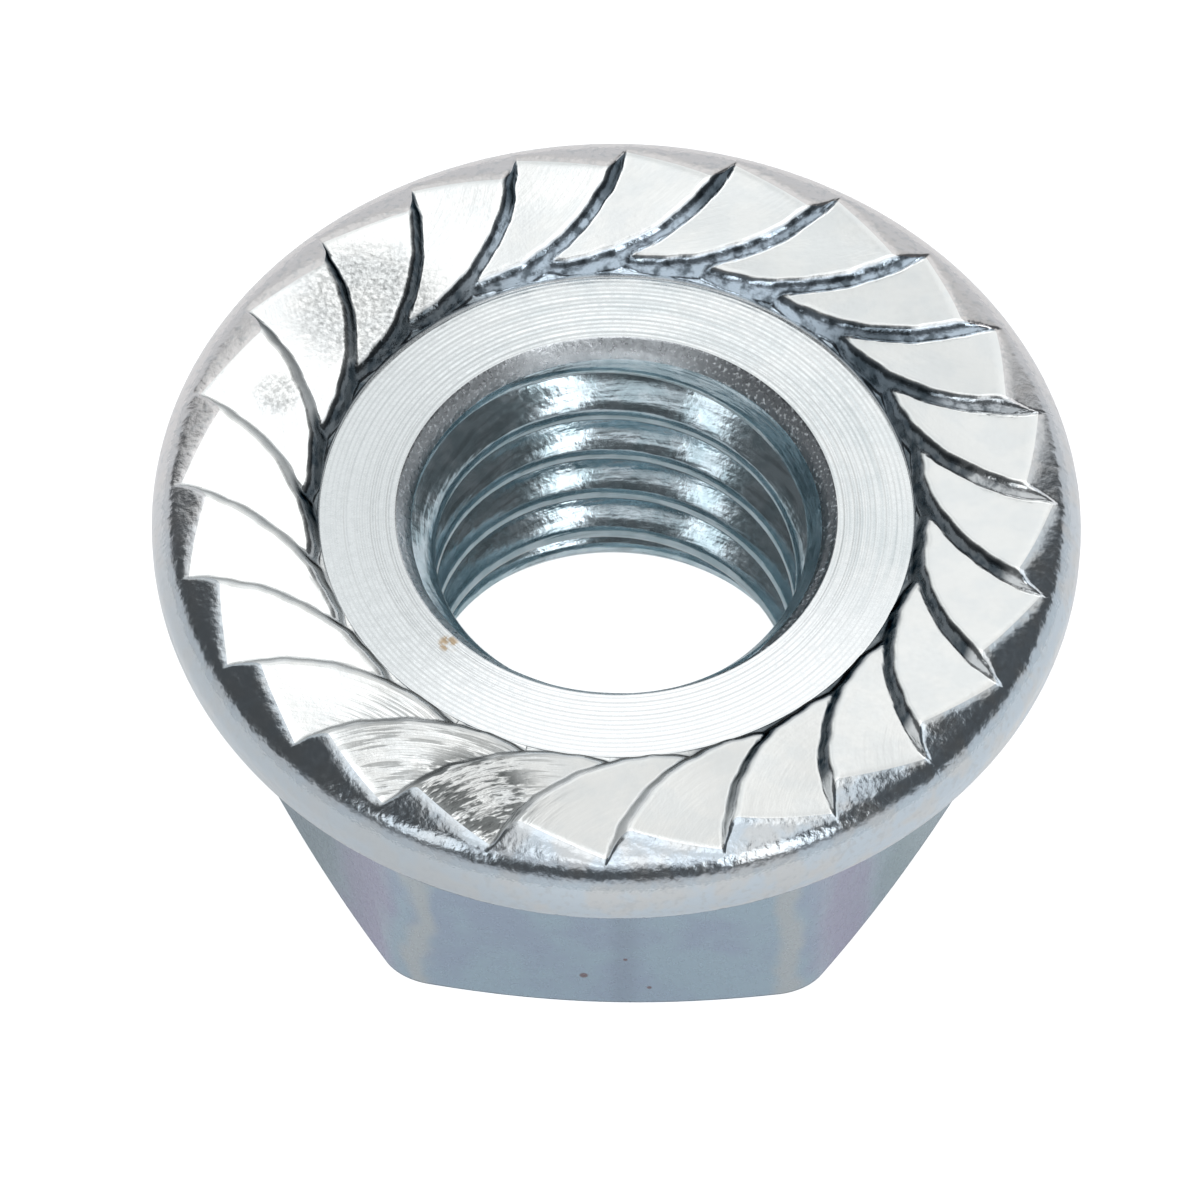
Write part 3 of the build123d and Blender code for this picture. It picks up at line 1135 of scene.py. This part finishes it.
def hexagon_zinc():
    """Smooth bluish hexagon in painted shade, with painted light in beige on its front corners,
    painted shade in violet and teal on the faces beside them and on its left, painted light on its
    right, and rust specks.
    """
    nodes = start_zinc("hexagon")
    colour = cloudy(nodes, HEXAGON_SHADED_TONES, scale=0.7)
    axes = nodes.add("ShaderNodeSeparateXYZ", {0: nodes.place}).outputs
    front = nodes.ramp(axes["Y"], start=0.0, end=-3.5)
    wave = nodes.times_plus(nodes.noise(nodes.place, scale=0.8), 1.0, -0.5)
    aside = nodes.math("ADD", nodes.math("ABSOLUTE", axes["X"]), wave)
    # Painted light and shade across the front corners, on the front only
    beige = nodes.times(strip(nodes, aside, low=3.2, high=3.6, edge=0.15), front)
    violet = nodes.times(strip(nodes, aside, low=4.0, high=4.8, edge=0.3), front)
    teal = nodes.times(nodes.ramp(aside, start=4.8, end=5.4), front)
    middle = nodes.times(strip(nodes, axes["X"], low=0.15, high=0.6, edge=0.15), front)
    colour = nodes.mix(beige, colour, CORNER_HIGHLIGHT_TONE)
    colour = nodes.mix(violet, colour, VIOLET_SHADE_TONE)
    colour = nodes.mix(teal, colour, TEAL_SHADE_TONE)
    colour = nodes.mix(nodes.times(middle, MIDDLE_SHARE), colour, MIDDLE_TONE)
    # Painted shade at the left, painted light at the right
    for ramp, tone in FAR_SIDE_SHADE_AND_LIGHT:
        far = nodes.times(nodes.ramp(axes["X"], *ramp), FAR_SIDE_LIGHTING_SHARE)
        colour = nodes.mix(far, colour, tone)
    for mark in RUST_MARKS:
        colour = nodes.mix(nodes.times(near(nodes, mark), RUST_SHARE), colour, RUST_TONE)
    height = nodes.times(nodes.noise(nodes.place, scale=10.0), HEXAGON_SPOT_HEIGHT)
    return end_zinc(nodes, colour, uneven(nodes, roughness=0.24), height)


def make_materials():
    """The finishes of the zones, in the zones' order."""
    finishes = (
        teeth_zinc, ring_zinc, mouth_zinc, bore_zinc, rim_zinc, hexagon_zinc, flank_zinc
    )
    return [finish() for finish in finishes]


# ---------- stage


FLOOR_HALF = 400
FLOOR_TONE = rgb(0.9, 0.9, 0.9)
FLOOR_ROUGHNESS = 0.9
WHITE = rgb(1.0, 1.0, 1.0)
FLOOR_GLOW_SEEN = 0.88
FLOOR_GLOW_MIRRORED = 0.35


def make_floor():
    """A sheet of pale paper that glows for the camera and for reflections, and takes shadow."""
    mesh = bpy.data.meshes.new("floor")
    half = FLOOR_HALF * MM
    mesh.from_pydata(
        [(-half, -half, 0), (half, -half, 0), (half, half, 0), (-half, half, 0)],
        [],
        [(0, 1, 2, 3)],
    )
    floor = bpy.data.objects.new("floor", mesh)
    bpy.context.scene.collection.objects.link(floor)
    material = bpy.data.materials.new("floor_paper")
    material.use_nodes = True
    nodes = Nodes(material.node_tree)
    shader = material.node_tree.nodes["Principled BSDF"]
    shader.inputs["Base Color"].default_value = FLOOR_TONE
    shader.inputs["Roughness"].default_value = FLOOR_ROUGHNESS
    rays = nodes.add("ShaderNodeLightPath").outputs
    seen = nodes.times(rays["Is Camera Ray"], FLOOR_GLOW_SEEN)
    glow = nodes.times_plus(rays["Is Glossy Ray"], FLOOR_GLOW_MIRRORED, seen)
    shader.inputs["Emission Color"].default_value = WHITE
    nodes.tree.links.new(glow, shader.inputs["Emission Strength"])
    mesh.materials.append(material)


ALL_ROUND = 180
NADIR = -90
SURROUNDINGS = (0.10, 0.105, 0.11)

# Soft panels of light: (azimuth, elevation, half width, soft edge) in degrees, then colour
PANELS = [
    ((10, 84, 19, 4), (0.92, 0.93, 0.94)),
    ((268, 70, 12, 5), (0.66, 0.67, 0.69)),
    ((90, 69, 12, 4), (0.42, 0.42, 0.42)),
    ((116, 60, 10, 5), (0.40, 0.40, 0.40)),
    ((66, 64, 7, 4), (0.40, 0.40, 0.40)),
    ((72, 46, 9, 5), (0.18, 0.17, 0.16)),
    ((120, 38, 12, 4), (0.30, 0.31, 0.31)),
]
# Bands of light: (azimuth, half width, soft edge, lowest, highest elevation, soft edge), colour
BANDS = [
    ((90, ALL_ROUND, 0, NADIR, 21, 4), (0.62, 0.64, 0.66)),
    ((90, 32, 16, 21, 68, 4), (0.58, 0.59, 0.59)),
    ((270, 60, 20, 21, 28, 4), (0.42, 0.43, 0.45)),
    ((90, 9, 6, 28, 78, 5), (0.28, 0.28, 0.28)),
    ((226, 9, 5, 38, 66, 6), (1.50, 1.55, 1.60)),
    ((311, 9, 5, 38, 66, 6), (2.10, 2.15, 2.20)),
]


def facing_share(nodes, direction, centre, half_width, edge):
    """1 in directions near the centre and 0 away from it, with a soft edge, in degrees."""
    facing = nodes.vector("DOT_PRODUCT", direction, centre)
    inner = cos(radians(max(half_width - edge, 0)))
    return nodes.ramp(facing, cos(radians(half_width + edge)), inner)


def panel_share(nodes, direction, panel):
    """1 inside a panel of light, and 0 outside it."""
    azimuth, elevation, half_width, edge = panel
    azimuth, elevation = radians(azimuth), radians(elevation)
    centre = (cos(elevation) * cos(azimuth), cos(elevation) * sin(azimuth), sin(elevation))
    return facing_share(nodes, direction, centre, half_width, edge)


def band_share(nodes, level_direction, height, band):
    """1 inside a band of light, and 0 outside it."""
    azimuth, half_width, side_edge, low, high, edge = band
    share = 1.0
    if half_width < ALL_ROUND:
        centre = (cos(radians(azimuth)), sin(radians(azimuth)), 0)
        share = facing_share(nodes, level_direction, centre, half_width, side_edge)
    if low > NADIR:
        above = nodes.ramp(height, sin(radians(low - edge)), sin(radians(low + edge)))
        share = nodes.times(above, share)
    below = nodes.ramp(height, sin(radians(high + edge)), sin(radians(high - edge)))
    return nodes.times(below, share)


def make_world():
    """Dim surroundings, bright below the horizon and just above it, with panels and bands."""
    world = bpy.data.worlds.new("studio")
    bpy.context.scene.world = world
    world.use_nodes = True
    nodes = Nodes(world.node_tree)
    direction = nodes.add("ShaderNodeTexCoord").outputs["Generated"]
    height = nodes.add("ShaderNodeSeparateXYZ", {0: direction}).outputs["Z"]
    level_direction = nodes.vector("NORMALIZE", nodes.vector("MULTIPLY", direction, LEVEL))

    lights = [(panel_share(nodes, direction, panel), colour) for panel, colour in PANELS]
    for band, colour in BANDS:
        lights.append((band_share(nodes, level_direction, height, band), colour))

    total = nodes.add("ShaderNodeCombineXYZ", dict(enumerate(SURROUNDINGS))).outputs[0]
    for share, colour in lights:
        glow = nodes.add("ShaderNodeVectorMath", {0: colour, "Scale": share}, operation="SCALE")
        total = nodes.vector("ADD", total, glow.outputs[0])
    background = nodes.tree.nodes["Background"]
    nodes.tree.links.new(total, background.inputs["Color"])


# ---------- scene


nut = build_object(make_nut(np.random.default_rng(GROOVE_SEED)))
for material in make_materials():
    nut.data.materials.append(material)

make_camera()
make_floor()
make_world()
bpy.context.scene.view_settings.view_transform = "Standard"

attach(nut, "root")
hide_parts(NODE)
